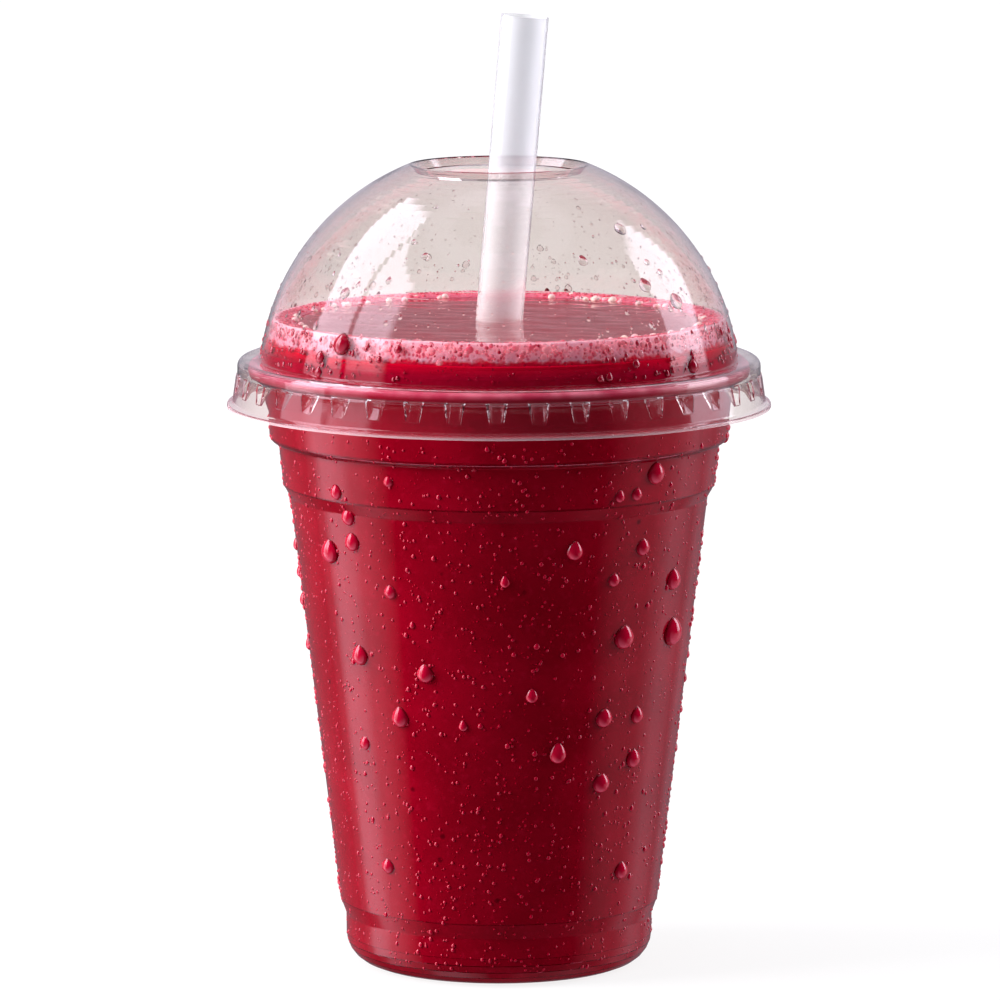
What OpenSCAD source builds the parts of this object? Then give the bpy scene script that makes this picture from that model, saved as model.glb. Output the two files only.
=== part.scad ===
// Clear thermoformed cold-drink cup with a rolled rim, filled with a thick red
// fruit drink, under a push-fit dome lid with an open top, with a wide straw.
// Origin on the cup's axis at the surface that it stands on, +Z up, millimetres.

/* [Cup] */
// Outside diameter of the rolled rim, from which every other width follows
rim_d = 95; // [78:0.5:107]
// Height of the cup to the top of its rolled rim
cup_h = 115.5; // [95:0.5:135]
// Thickness of the cup's sheet
cup_wall = 0.5; // [0.3:0.05:0.6]
// Thickness of the rolled bead across its section
bead_d = 2.8; // [2.4:0.1:3]
// How far the sheet curls round inside the bead, in degrees
bead_curl = 290; // [230:5:300]
// How far the neck under the rim lies inside the rim's outermost line
neck_in = 3.5; // [3.2:0.1:4.2]
// How far below the top of the rim the neck starts to widen towards it
neck_drop = 7; // [5:0.5:10]
// Bend radius where the neck widens
neck_bend_r = 3; // [1:0.1:5]

/* [Cup shoulders] */
// How much the stacking ring narrows from the neck down to its foot
ring_taper = 0.4; // [0.2:0.05:0.8]
// Height of the stacking ring from its ledge up to the neck
ring_h = 7.9; // [6:0.1:10]
// Width of the ledge under the stacking ring
ledge_w = 1.65; // [1.5:0.05:2.2]
// How far the ledge rises outwards
ledge_rise = 0.2; // [0.1:0.05:0.5]
// Radius of the stacking ring's lower edge
ledge_r = 1.1; // [0.8:0.1:1.2]
// Radius of the inner corner under the ledge
ledge_inner_r = 0.4; // [0.2:0.1:0.6]
// Height of the band between the two shoulders
band_h = 8.2; // [5:0.1:12]
// How much that band narrows towards its foot
band_taper = 0.85; // [0.4:0.05:1.4]
// Height over which the lower shoulder steps inwards
shoulder_h = 2.4; // [2:0.1:4]
// Width of the step in at the lower shoulder
shoulder_w = 1.35; // [1:0.05:2]

/* [Cup body and foot] */
// How much the body narrows from the lower shoulder to its foot
body_taper = 9.35; // [6:0.05:12]
// Width of the step in from the body to the foot
foot_step_w = 1.1; // [0.5:0.05:1.6]
// Height over which the foot steps in
foot_step_h = 3; // [2:0.1:5]
// Height of the upright wall of the foot
foot_h = 9.4; // [8:0.1:12]
// How much the wall of the foot narrows towards the floor
foot_draft = 0.1; // [0:0.05:0.5]
// Radius of the foot's lower corner
foot_corner_r = 5.7; // [3:0.1:6.4]
// Width of the flat ring that the cup stands on
stand_w = 1.9; // [1.5:0.1:3]
// Width of the slope from the standing ring up to the raised panel of the base
panel_slope = 2.2; // [1.5:0.1:3]
// How far the panel is raised above the standing surface
panel_rise = 2.6; // [1.5:0.1:4]
// Radius of the other bends in the cup's wall
cup_bend_r = 1; // [0.6:0.1:1.2]

/* [Lid] */
// Thickness of the lid's sheet
lid_wall = 0.4; // [0.3:0.05:0.5]
// Clearance between the lid and the cup, rim, lugs and drink
lid_gap = 0.3; // [0.2:0.05:0.4]
// How far the foot of the dome lies inside the rim's outermost line
dome_in = 2.1; // [1.8:0.05:2.3]
// Height of the dome above the flat ring round its foot
dome_h = 37; // [32:0.5:44]
// Diameter of the edge round the top opening
hole_d = 33.4; // [28:0.2:44]
// How far the lip turns inwards inside that edge
lip_in = 1.5; // [1:0.1:3]
// How far the lip turns down
lip_drop = 1.6; // [1:0.1:3]
// How far the collar that covers the rim stands out beyond it
collar_out = 2.2; // [1.8:0.05:2.8]
// Radius of the collar's upper edge
collar_r = 1.3; // [0.8:0.1:1.5]
// Height of the collar from the flat ring down to the lugs
collar_h = 2.7; // [2.4:0.1:3]
// How far the top of the skirt stands out beyond the collar
skirt_out = 0.25; // [0.2:0.05:0.7]
// Height over which the collar steps out to the skirt
skirt_step_h = 0.3; // [0.2:0.05:0.5]
// How much the skirt widens towards its foot
skirt_taper = 0.7; // [0.5:0.05:1]
// Depth of the skirt from the flat ring down to the turned edge
skirt_h = 7.9; // [7:0.1:9]
// How far the turned edge stands out beyond the skirt's foot
edge_out = 1.05; // [0.9:0.05:1.6]
// Height over which the skirt flares out to the turned edge
flare_h = 0.5; // [0.4:0.05:2]
// Height of the turned edge
edge_h = 0.65; // [0.5:0.05:1.2]
// Radius of the other bends in the lid's wall
lid_bend_r = 0.45; // [0.3:0.05:0.5]

/* [Lid lugs] */
// Number of snap lugs round the skirt
lug_count = 40; // [12:4:48]
// Height of a lug from the collar down to its tip on the skirt
lug_h = 3.4; // [2.8:0.1:4.4]
// How far the roof of a lug drops from the collar to the lug's inner edge
lug_roof_drop = 0.8; // [0.4:0.1:1.2]
// Width of a lug's groove at its top, on the skirt's face
lug_top_w = 3.5; // [2.6:0.1:4.4]
// Width of the flat bottom of the groove
lug_floor_w = 1.8; // [1:0.1:2]
// Turn of the lug pattern from the front, in degrees
lug_turn = -0.5; // [-4.5:0.1:4.5]

/* [Straw] */
// Outside diameter of the straw
straw_d = 9; // [6:0.5:12]
// Thickness of the straw's wall
straw_wall = 0.3; // [0.2:0.05:0.5]
// Length of the straw
straw_len = 178; // [165:1:230]
// Lean of the straw towards +X, in degrees
straw_lean = 4.8; // [0:0.1:6]
// How far below the drink's surface the leaning straw crosses the cup's axis
straw_dip = 0.3; // [0:0.1:20]
// Gap between the straw's lowest point and the cup's floor
straw_lift = 0.3; // [0.2:0.05:0.5]

/* [Drink] */
// How far the drink's surface stands above the flat ring of the lid
drink_rise = 6.9; // [5.3:0.1:10]
// Gap between the drink and the cup, the straw and the foam
drink_gap = 0.06; // [0.04:0.01:0.1]
// How far the foam's crest along the dome stands above the drink's surface
foam_rise = 1.1; // [0.8:0.1:4]
// Depth of the foam below the drink's surface where it meets the dome
foam_deep = 3.4; // [2:0.1:3.8]
// Width of the foam ring across the surface
foam_w = 5.6; // [3:0.1:9]
// Width of the foam's crest along the dome
foam_crest_w = 1.7; // [1:0.1:3]
// Radius of the edge of that crest
foam_bend_r = 1; // [0.5:0.1:1.2]

/* [Hidden] */
$fn = 128;

// Steps in a rounded corner of an outline, in the dome and in the rolled rim
corner_steps = 6;
dome_steps = 30;
bead_step = 10;

// How far a cut goes on past the faces that it cuts through
past = 1;

// Radii of the cup's wall, from the rim down
rim_r = rim_d / 2;
bead_r = bead_d / 2;
bead_at = [rim_r - bead_r, cup_h - bead_r];
mouth_r = rim_r - bead_d;
neck_r = rim_r - neck_in;
ring_r = neck_r - ring_taper;
band_top_r = ring_r - ledge_w;
band_foot_r = band_top_r - band_taper;
body_top_r = band_foot_r - shoulder_w;
body_foot_r = body_top_r - body_taper;
foot_r = body_foot_r - foot_step_w;
stand_r = foot_r - foot_corner_r - stand_w;
panel_r = stand_r - panel_slope;

// Heights of the cup's shoulders, from the rim down
neck_z = cup_h - neck_drop;
ledge_z = neck_z - ring_h;
band_foot_z = ledge_z - band_h;
shoulder_z = band_foot_z - shoulder_h;
floor_z = panel_rise + cup_wall;

// The flat ring of the lid lies over the rim, a clearance above it
ring_z = cup_h + lid_gap + lid_wall;
dome_r = rim_r - dome_in;
hole_r = hole_d / 2;
dome_centre_z = ring_z + (dome_h ^ 2 + hole_r ^ 2 - dome_r ^ 2) / (2 * dome_h);
dome_ball_r = norm([dome_r, ring_z - dome_centre_z]);
drink_ball_r = dome_ball_r - lid_wall - lid_gap;

// The collar, skirt and turned edge each stand out from the one above
collar_out_r = rim_r + collar_out;
skirt_top_r = collar_out_r + skirt_out;
skirt_foot_r = skirt_top_r + skirt_taper;
edge_r = skirt_foot_r + edge_out;
collar_foot_z = ring_z - collar_h;
skirt_top_z = collar_foot_z - skirt_step_h;
skirt_foot_z = ring_z - skirt_h;
edge_top_z = skirt_foot_z - flare_h;

// A lug reaches in from the skirt until it is a clearance outside the rim, and ends on the skirt
lug_inner_r = rim_r + lid_gap;
lug_inner_z = collar_foot_z - lug_roof_drop;
lug_foot_z = collar_foot_z - lug_h;
lug_foot_r = skirt_foot_r - skirt_taper * (lug_foot_z - skirt_foot_z) / (skirt_top_z - skirt_foot_z);
// The sheet runs down a lug at a slope, so it measures a little more straight across
lug_wall_across = lid_wall * norm([lug_foot_r - lug_inner_r, lug_inner_z - lug_foot_z]) / (lug_inner_z - lug_foot_z);
// How far a lug's floor runs outwards for each millimetre down
lug_lean = (lug_foot_r - lug_inner_r - lug_wall_across) / (lug_inner_z - lug_foot_z);
function lug_roof_z(r) = collar_foot_z - lug_roof_drop * (collar_out_r - r) / (collar_out_r - lug_inner_r);

// The drink's surface, and the foam's crest on it
drink_z = ring_z + drink_rise;
foam_z = drink_z + foam_rise;
straw_cross_z = drink_z - straw_dip;

// An outline is a list of [radius, height, corner radius]; these turn it into plain points
function unit(v) = v / norm(v);
function flat(p) = [p[0], p[1]];
function sweep(from, to) = (to - from + 540) % 360 - 180;
function arc(centre, r, from, turn, steps) =
    [for (i = [0:steps]) centre + r * [cos(from + turn * i / steps), sin(from + turn * i / steps)]];

function corner(before, at, after, r) = let (
        u = unit(before - at),
        w = unit(after - at),
        half = acos(u * w) / 2,
        centre = at + unit(u + w) * r / sin(half),
        first = at + u * r / tan(half) - centre,
        last = at + w * r / tan(half) - centre,
        from = atan2(first.y, first.x)
    ) arc(centre, r, from, sweep(from, atan2(last.y, last.x)), corner_steps);

function rounded(path) = [
    for (i = [0:len(path) - 1])
        each len(path[i]) == 3
            ? corner(flat(path[i - 1]), flat(path[i]), flat(path[i + 1]), path[i][2])
            : [path[i]]
];

// The same line moved to the left of its direction
function moved(line, by) = [
    for (i = [0:len(line) - 1]) let (
        here = line[i],
        back = i == 0 ? here - line[1] : line[i - 1] - here,
        ahead = i == len(line) - 1 ? here - line[i - 1] : line[i + 1] - here,
        n1 = i == 0 ? unit([-ahead.y, ahead.x]) : unit([back.y, -back.x]),
        n2 = unit([-ahead.y, ahead.x]),
        n = unit(n1 + n2)
    ) here + n * by / (n * n1)
];

function reversed(line) = [for (i = [len(line) - 1:-1:0]) line[i]];
function without_last(line) = [for (i = [0:len(line) - 2]) line[i]];

// Angle above the horizontal of a point on a ball round the axis, from its height or its radius
function angle_at_z(ball_r, z) = asin((z - dome_centre_z) / ball_r);
function angle_at_r(ball_r, r) = acos(r / ball_r);
function ball_point(ball_r, angle) = [ball_r * cos(angle), dome_centre_z + ball_r * sin(angle)];

// Outer face of the cup from the middle of its base up to the rolled rim
cup_face = rounded([
    [0, panel_rise],
    [panel_r, panel_rise, cup_bend_r],
    [stand_r, 0, cup_bend_r],
    [foot_r - foot_draft, 0, foot_corner_r],
    [foot_r, foot_h, cup_bend_r],
    [body_foot_r, foot_h + foot_step_h, cup_bend_r],
    [body_top_r, shoulder_z, cup_bend_r],
    [band_foot_r, band_foot_z, cup_bend_r],
    [band_top_r, ledge_z, ledge_inner_r],
    [ring_r, ledge_z + ledge_rise, ledge_r],
    [neck_r, neck_z, neck_bend_r],
    [mouth_r + cup_wall, bead_at.y]
]);

// Outer face of the lid from the lip in its top opening down to the turned edge
lid_face = rounded([
    [hole_r - lip_in, ring_z + dome_h - lip_drop],
    [hole_r, ring_z + dome_h, lid_bend_r],
    for (i = [1:dome_steps - 1]) let (
        from = angle_at_r(dome_ball_r, hole_r),
        to = angle_at_z(dome_ball_r, ring_z)
    ) ball_point(dome_ball_r, from + (to - from) * i / dome_steps),
    [dome_r, ring_z, lid_bend_r],
    [collar_out_r, ring_z, collar_r],
    [collar_out_r, collar_foot_z, lid_bend_r],
    [skirt_top_r, skirt_top_z, lid_bend_r],
    [skirt_foot_r, skirt_foot_z, lid_bend_r],
    [edge_r, edge_top_z, lid_bend_r],
    [edge_r, edge_top_z - edge_h]
]);

module sheet(face, wall) {
    rotate_extrude()
        polygon(concat(face, reversed(moved(face, -wall))));
}

module cup() {
    inner = without_last(moved(cup_face, cup_wall));
    color([0.94, 0.96, 0.97, 0.35])
        rotate_extrude()
            polygon(concat(
                cup_face,
                arc(bead_at, bead_r - cup_wall, 180, -bead_curl, bead_curl / bead_step),
                arc(bead_at, bead_r, 180 - bead_curl, bead_curl, bead_curl / bead_step),
                reversed(inner)
            ));
}

// A wedge whose roof slopes in and down to a flat floor, which runs down and out to its foot.
// Each corner is [radius, height]. The roof is as wide as the groove at the skirt.
module lug_wedge(roof_out, roof_in, foot, top_w, floor_w) {
    polyhedron(
        points = [
            [roof_in.x, -floor_w / 2, roof_in.y],
            [roof_in.x, floor_w / 2, roof_in.y],
            [roof_out.x, -top_w / 2, roof_out.y],
            [roof_out.x, top_w / 2, roof_out.y],
            [foot.x, -floor_w / 2, foot.y],
            [foot.x, floor_w / 2, foot.y]
        ],
        faces = [[0, 1, 3, 2], [1, 0, 4, 5], [2, 3, 5, 4], [0, 2, 4], [1, 5, 3]]
    );
}

// The solid lug reaches out to the middle of the skirt's sheet
module lug_body() {
    roof_out_r = collar_out_r - lid_wall / 2;
    foot_drop = (lug_wall_across - lid_wall / 2) / lug_lean;
    lug_wedge(
        [roof_out_r, lug_roof_z(roof_out_r) + lid_wall],
        [lug_inner_r, lug_inner_z + lid_wall],
        [lug_foot_r - lid_wall / 2, lug_foot_z - foot_drop],
        lug_top_w + 2 * lid_wall,
        lug_floor_w + 2 * lid_wall
    );
}

// The groove on the outside, one wall thickness away
module lug_hollow() {
    roof_out_r = skirt_top_r + lid_wall;
    roof_in_r = lug_inner_r + lug_wall_across;
    lug_wedge(
        [roof_out_r, lug_roof_z(roof_out_r)],
        [roof_in_r, lug_roof_z(roof_in_r)],
        [lug_foot_r, lug_foot_z],
        lug_top_w,
        lug_floor_w
    );
}

module at_lugs() {
    for (i = [0:lug_count - 1])
        rotate([0, 0, -90 + lug_turn + i * 360 / lug_count])
            children();
}

module lid() {
    color([0.94, 0.96, 0.97, 0.35])
        difference() {
            union() {
                sheet(lid_face, lid_wall);
                at_lugs()
                    lug_body();
            }
            at_lugs()
                lug_hollow();
        }
}

// Places what is drawn upright on the straw's own leaning axis, with its foot at the origin
module on_straw_axis() {
    foot_z = floor_z + straw_lift + straw_d / 2 * sin(straw_lean);
    translate([(foot_z - straw_cross_z) * tan(straw_lean), 0, foot_z])
        rotate([0, straw_lean, 0])
            children();
}

module straw() {
    color([0.92, 0.92, 0.95, 0.6])
        on_straw_axis()
            difference() {
                cylinder(h = straw_len, d = straw_d);
                translate([0, 0, -past])
                    cylinder(h = straw_len + 2 * past, d = straw_d - 2 * straw_wall);
            }
}

// Where the foam meets the dome, and where it thins out on the drink's surface
foam_foot_z = drink_z - foam_deep;
foam_foot = ball_point(drink_ball_r, angle_at_z(drink_ball_r, foam_foot_z));
foam_rim_r = foam_foot.x - foam_w;

module drink() {
    inner = without_last(moved(cup_face, cup_wall + drink_gap));
    start = angle_at_z(drink_ball_r, ring_z);
    color([0.62, 0.02, 0.1])
        difference() {
            rotate_extrude()
                polygon(concat(
                    inner,
                    [[mouth_r - drink_gap, bead_at.y]],
                    arc([0, dome_centre_z], drink_ball_r, start,
                        angle_at_z(drink_ball_r, foam_foot_z) - start, corner_steps),
                    [[foam_rim_r, drink_z], [0, drink_z]]
                ));
            on_straw_axis()
                translate([0, 0, -drink_gap])
                    difference() {
                        cylinder(h = straw_len, d = straw_d + 2 * drink_gap);
                        translate([0, 0, -past])
                            cylinder(h = straw_len + 2 * past, d = straw_d - 2 * straw_wall - 2 * drink_gap);
                    }
        }
}

module foam() {
    crest = angle_at_z(drink_ball_r, foam_z);
    start = angle_at_z(drink_ball_r, foam_foot_z + drink_gap);
    crest_r = ball_point(drink_ball_r, crest).x;
    color([0.93, 0.45, 0.52])
        rotate_extrude()
            polygon(rounded(concat(
                arc([0, dome_centre_z], drink_ball_r, start, crest - start, corner_steps),
                [
                    [crest_r - foam_crest_w, foam_z, foam_bend_r],
                    [foam_rim_r, drink_z + 2 * drink_gap],
                    [foam_rim_r, drink_z + drink_gap]
                ]
            )));
}

cup();
drink();
foam();
straw();
lid();
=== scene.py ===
# Looks of a clear cold-drink cup of thick red fruit drink under a dome lid, with a wide straw.
# Every length is in metres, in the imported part's own frame: +Z up, -Y towards the camera.
import math

import bmesh
import bpy
import numpy as np
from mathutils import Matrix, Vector
from mathutils.bvhtree import BVHTree


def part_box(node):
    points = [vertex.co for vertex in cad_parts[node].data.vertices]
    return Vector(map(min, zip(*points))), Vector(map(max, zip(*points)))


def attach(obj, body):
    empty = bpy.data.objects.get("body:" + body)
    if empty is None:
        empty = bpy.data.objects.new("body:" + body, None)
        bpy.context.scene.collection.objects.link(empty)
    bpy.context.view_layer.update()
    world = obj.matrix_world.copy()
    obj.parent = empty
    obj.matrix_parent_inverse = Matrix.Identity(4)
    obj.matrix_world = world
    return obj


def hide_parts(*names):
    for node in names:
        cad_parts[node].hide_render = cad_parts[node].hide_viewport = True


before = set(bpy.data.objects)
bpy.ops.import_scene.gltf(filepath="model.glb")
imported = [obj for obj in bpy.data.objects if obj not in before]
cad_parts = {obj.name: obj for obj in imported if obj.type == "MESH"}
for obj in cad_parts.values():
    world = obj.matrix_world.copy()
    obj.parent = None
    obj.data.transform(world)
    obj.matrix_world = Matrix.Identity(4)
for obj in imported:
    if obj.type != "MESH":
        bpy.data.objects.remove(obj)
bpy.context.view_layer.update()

MM = 0.001
CUP_BODY = "cup_body"
LID_BODY = "lid_body"
WORLD_UP = Vector((0, 0, 1))
rng = np.random.default_rng(7)

# The photograph's view: a long lens that looks down a little on the middle of the cup
FRAME_PX = 1000
SENSOR_MM = 36
LENS_MM = 270
CAMERA_PITCH = math.radians(8.11)
CAMERA_DISTANCE = 1.4286
CAMERA_TARGET = Vector((0.00019, 0, 0.08886))
CAMERA_BACK = Vector((0, -math.cos(CAMERA_PITCH), math.sin(CAMERA_PITCH)))
CAMERA_UP = Vector((0, math.sin(CAMERA_PITCH), math.cos(CAMERA_PITCH)))
FOCAL_PX = LENS_MM / SENSOR_MM * FRAME_PX


def vector(azimuth, elevation):
    """A direction from its angle round the axis, from the front towards +X, and its angle upwards."""
    az, el = math.radians(azimuth), math.radians(elevation)
    return Vector((math.sin(az) * math.cos(el), -math.cos(az) * math.cos(el), math.sin(el)))


def make_camera():
    lens = bpy.data.cameras.new("camera")
    lens.lens, lens.sensor_width = LENS_MM, SENSOR_MM
    lens.clip_end = 20
    camera = bpy.data.objects.new("camera", lens)
    bpy.context.scene.collection.objects.link(camera)
    camera.location = CAMERA_TARGET + CAMERA_DISTANCE * CAMERA_BACK
    camera.rotation_euler = (math.pi / 2 - CAMERA_PITCH, 0, 0)
    bpy.context.scene.camera = camera


def pixel_ray(x, y):
    """The camera's place and the direction through a pixel of the photograph."""
    right_px, up_px = x - FRAME_PX / 2, FRAME_PX / 2 - y
    way = Vector((right_px, 0, 0)) + up_px * CAMERA_UP - FOCAL_PX * CAMERA_BACK
    return CAMERA_TARGET + CAMERA_DISTANCE * CAMERA_BACK, way.normalized()


# Small helpers for node trees

def new_tree(block):
    block.use_nodes = True
    block.node_tree.nodes.clear()
    return block.node_tree


def add(tree, kind, inputs=(), **settings):
    """Adds a node. inputs maps a socket's name or number to a value or to another node's output."""
    made = tree.nodes.new(kind)
    for name, value in settings.items():
        setattr(made, name, value)
    for name, value in dict(inputs).items():
        socket = made.inputs[name]
        if isinstance(value, bpy.types.NodeSocket):
            tree.links.new(value, socket)
        else:
            socket.default_value = value
    return made


def math_of(tree, operation, a, b=0.0):
    return add(tree, "ShaderNodeMath", {0: a, 1: b}, operation=operation).outputs[0]


def mixed_colour(tree, share, a, b):
    made = add(tree, "ShaderNodeMix", {0: share, 6: a, 7: b}, data_type="RGBA")
    return made.outputs[2]


def ramp(tree, value, low, high, to_low=0.0, to_high=1.0):
    inputs = {"Value": value, 1: low, 2: high, 3: to_low, 4: to_high}
    return add(tree, "ShaderNodeMapRange", inputs, interpolation_type="SMOOTHSTEP").outputs[0]


def steps(tree, value, points):
    """A value that follows straight lines through [(at, value), ...] and stays level past both ends."""
    total = points[0][1]
    for (low, at_low), (high, at_high) in zip(points, points[1:]):
        inputs = {"Value": value, 1: low, 2: high, 3: 0.0, 4: at_high - at_low}
        total = math_of(tree, "ADD", add(tree, "ShaderNodeMapRange", inputs).outputs[0], total)
    return total


def product(tree, *values):
    total = values[0]
    for value in values[1:]:
        total = math_of(tree, "MULTIPLY", total, value)
    return total


def total_of(tree, *values):
    total = values[0]
    for value in values[1:]:
        total = math_of(tree, "ADD", total, value)
    return total


def noise(tree, place, scale, detail=3.0):
    inputs = {"Vector": place, "Scale": scale, "Detail": detail, "Roughness": 0.55}
    return add(tree, "ShaderNodeTexNoise", inputs).outputs[0]


def bump(tree, strength, distance, height):
    inputs = {"Strength": strength, "Distance": distance, "Height": height}
    return add(tree, "ShaderNodeBump", inputs).outputs[0]


def object_place(tree):
    return add(tree, "ShaderNodeTexCoord").outputs["Object"]


def height_of(tree, place):
    return add(tree, "ShaderNodeSeparateXYZ", {0: place}).outputs[2]


def new_material(name):
    material = bpy.data.materials.new(name)
    return material, new_tree(material)


def shadow_rays(tree):
    return add(tree, "ShaderNodeLightPath").outputs["Is Shadow Ray"]


def clear_to(tree, rays, shader, tint):
    """The shader, except for rays that pass straight through it and take a tint."""
    straight = add(tree, "ShaderNodeBsdfTransparent", {"Color": (*tint, 1)}).outputs[0]
    return add(tree, "ShaderNodeMixShader", {0: rays, 1: shader, 2: straight}).outputs[0]


def finish_material(tree, shader, kind="ShaderNodeOutputMaterial"):
    add(tree, kind, {"Surface": shader})


# Materials

# The power of its tint that a clear sheet takes from a lamp's light at each of its faces
LIT_SHARE = 0.1
LID_TINT = (0.885, 0.85, 0.825)
# Juice that wets the cup's wall colours the light that the sheet pipes to its corners
CUP_TINT = (0.97, 0.32, 0.45)
WATER_TINT = (0.97, 0.92, 0.92)

# Over the lid's skirt lies a faint pink haze, and its turned edge is painted pale: a painted highlight of
# light caught in the edge
VEIL_COLOUR = (0.9, 0.13, 0.2)
EDGE_HIGHLIGHT_COLOUR = (1.0, 0.74, 0.78)
# How strong the haze is, and below EDGE_TOP the painted highlight: [(height in mm above the lid's foot,
# share), ...]
SKIRT_HAZE_AND_HIGHLIGHT = [(0.0, 0.26), (0.3, 0.24), (0.5, 0.03), (5.0, 0.02), (6.4, 0.0)]
EDGE_TOP = 0.45 * MM
EDGE_SOFT = 0.1 * MM

# Slow waves in the clear sheet: how fine they are and how high
WAVE_SCALE = 70
WAVE_HEIGHT = 0.4 * MM


def with_haze_and_highlight(tree, body, haze_and_highlight):
    """A clear sheet with a faint pink haze on it and a painted highlight along its turned edge, by the
    height above the lid's foot.
    """
    height = math_of(tree, "SUBTRACT", height_of(tree, object_place(tree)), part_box("lid")[0][2])
    share = steps(tree, math_of(tree, "DIVIDE", height, MM), haze_and_highlight)
    # Below EDGE_TOP the layer takes the pale colour of the painted highlight, and above it the haze's pink
    above_edge = ramp(tree, height, EDGE_TOP - EDGE_SOFT, EDGE_TOP + EDGE_SOFT)
    tone = mixed_colour(tree, above_edge, (*EDGE_HIGHLIGHT_COLOUR, 1), (*VEIL_COLOUR, 1))
    skirt_layer = add(tree, "ShaderNodeBsdfDiffuse", {"Color": tone}).outputs[0]
    return add(tree, "ShaderNodeMixShader", {0: share, 1: body, 2: skirt_layer}).outputs[0]


def clear_material(name, tint, ior, roughness, wave=0.0, gloss=0.0, haze_and_highlight=()):
    """Clear plastic or water. Lamps and soft light reach what is behind it straight through."""
    material, tree = new_material(name)
    inputs = {
        "Base Color": (*tint, 1),
        "Roughness": roughness,
        "IOR": ior,
        "Transmission Weight": 1.0,
        "Coat Weight": gloss,
        "Coat Roughness": 0.01,
    }
    if wave:
        ripple = noise(tree, object_place(tree), WAVE_SCALE, detail=1.0)
        inputs["Normal"] = bump(tree, wave, WAVE_HEIGHT, ripple)
    body = add(tree, "ShaderNodeBsdfPrincipled", inputs).outputs[0]
    if haze_and_highlight:
        body = with_haze_and_highlight(tree, body, haze_and_highlight)
    path = add(tree, "ShaderNodeLightPath").outputs
    lamps = math_of(tree, "MAXIMUM", path["Is Shadow Ray"], path["Is Diffuse Ray"])
    finish_material(tree, clear_to(tree, lamps, body, [t ** LIT_SHARE for t in tint]))
    return material


DRINK_RED = (0.335, 0.0016, 0.0205)
DRINK_DARK = (0.265, 0.001, 0.015)
DRINK_LIGHT = (0.46, 0.01, 0.045)
DRINK_LIT = (0.88, 0.001, 0.03)
SPECK_COLOUR = (0.045, 0.0, 0.004)
# How fine the clouds, the pulp and the specks are: about how many of them lie along a metre
CLOUD_SCALE = 70
PULP_SCALE = 800
SPECK_SCALE = 190
# A speck's dark middle and faded edge as shares of its cell, and its strength
SPECK_EDGE = (0.05, 0.14)
SPECK_SHARE = 0.65
# Only cells whose random red is above this have a speck
SPECK_RARE = (0.86, 0.9)
PULP_SHARE = 0.4
# How far under its top the drink begins to brighten, and from where it is fully lit
LIT_FROM = 5.5 * MM
LIT_FULL = 1.6 * MM


def drink_colour(tree, place):
    """Slightly mottled red pulp with a few dark specks of fruit skin."""
    cloud = ramp(tree, noise(tree, place, CLOUD_SCALE, detail=4), 0.35, 0.68)
    pulp = ramp(tree, noise(tree, place, PULP_SCALE, detail=2), 0.52, 0.8)
    colour = mixed_colour(tree, cloud, (*DRINK_DARK, 1), (*DRINK_RED, 1))
    colour = mixed_colour(tree, product(tree, pulp, PULP_SHARE), colour, (*DRINK_LIGHT, 1))
    cells = add(tree, "ShaderNodeTexVoronoi", {"Vector": place, "Scale": SPECK_SCALE}).outputs
    near = ramp(tree, cells["Distance"], *SPECK_EDGE, SPECK_SHARE, 0.0)
    cell_red = add(tree, "ShaderNodeSeparateColor", {0: cells["Color"]}).outputs[0]
    rare = ramp(tree, cell_red, *SPECK_RARE)
    return mixed_colour(tree, product(tree, near, rare), colour, (*SPECK_COLOUR, 1))


def drink_material():
    """Where the drink lies against a clear wall, with hardly any shine of its own: brighter just under
    the foam, where light comes down into it."""
    material, tree = new_material("fruit_drink")
    place = object_place(tree)
    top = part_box("drink")[1][2]
    lit = ramp(tree, height_of(tree, place), top - LIT_FROM, top - LIT_FULL)
    inputs = {
        "Base Color": mixed_colour(tree, lit, drink_colour(tree, place), (*DRINK_LIT, 1)),
        "Metallic": 0.15,
        "Roughness": 0.3,
        "IOR": 1.36,
        "Specular IOR Level": 0.0,
    }
    finish_material(tree, add(tree, "ShaderNodeBsdfPrincipled", inputs).outputs[0])
    return material


def surface_material():
    """The wet top of the drink."""
    material, tree = new_material("drink_surface")
    place = object_place(tree)
    inputs = {
        "Base Color": drink_colour(tree, place),
        "Roughness": 0.06,
        "IOR": 1.36,
        "Normal": bump(tree, 0.3, 0.15 * MM, noise(tree, place, 420, detail=3)),
    }
    finish_material(tree, add(tree, "ShaderNodeBsdfPrincipled", inputs).outputs[0])
    return material


FROTH_WHITE = (1.0, 0.53, 0.62)
FROTH_PALE = (1.0, 0.35, 0.45)
FROTH_DEEP = (0.72, 0.07, 0.14)
BUBBLE_RED = (0.75, 0.12, 0.2)
BUBBLE_PALE = (1.0, 0.5, 0.58)
TOP_RED = (0.58, 0.03, 0.08)
TOP_PALE = (0.82, 0.2, 0.28)
CREAM = (0.98, 0.78, 0.7)
BUBBLE_SHADOW = (0.97, 0.85, 0.87)

# The froth's uneven foot, and how far above its foot it turns from drink to froth
RAGGED = 3 * MM
FROTH_FROM = (0.3 * MM, 1.3 * MM)
# The crest grows whiter from this far above the foot up to this far below the top
WHITE_FROM = 1.8 * MM
WHITE_TO = 0.3 * MM
# The inner side is redder, from this far inside the wall inwards
INNER_FROM = 1.2 * MM
INNER_TO = 3.0 * MM


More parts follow.
